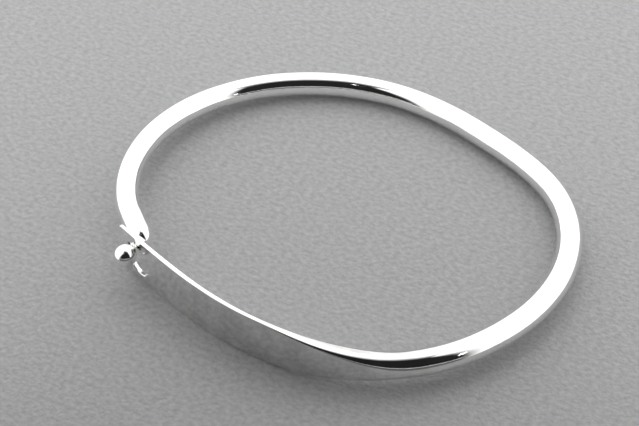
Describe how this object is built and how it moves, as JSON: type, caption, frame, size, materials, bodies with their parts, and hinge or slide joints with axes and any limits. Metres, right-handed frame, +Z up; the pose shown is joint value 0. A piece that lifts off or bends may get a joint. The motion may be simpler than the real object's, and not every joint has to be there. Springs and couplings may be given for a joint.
{
  "type": "bangle with ball and keyhole catch",
  "caption": "Oval polished silver wire bangle whose flattened end has a keyhole slot that holds the ball on the other end.",
  "frame": {"origin": "centre of the bounding box in plan, on the surface that the bangle rests on", "axes": "+X along the oval's long way, towards the rod's far right bend; +Y towards the far side of the rod, opposite the blade; +Z up, through the loop"},
  "size_m": [0.0702, 0.0572, 0.0081],
  "materials": {
    "silver": "mirror-polished sterling silver with faint wear"
  },
  "bodies": {
    "root": {"bangle": "silver"}
  },
  "joints": []
}
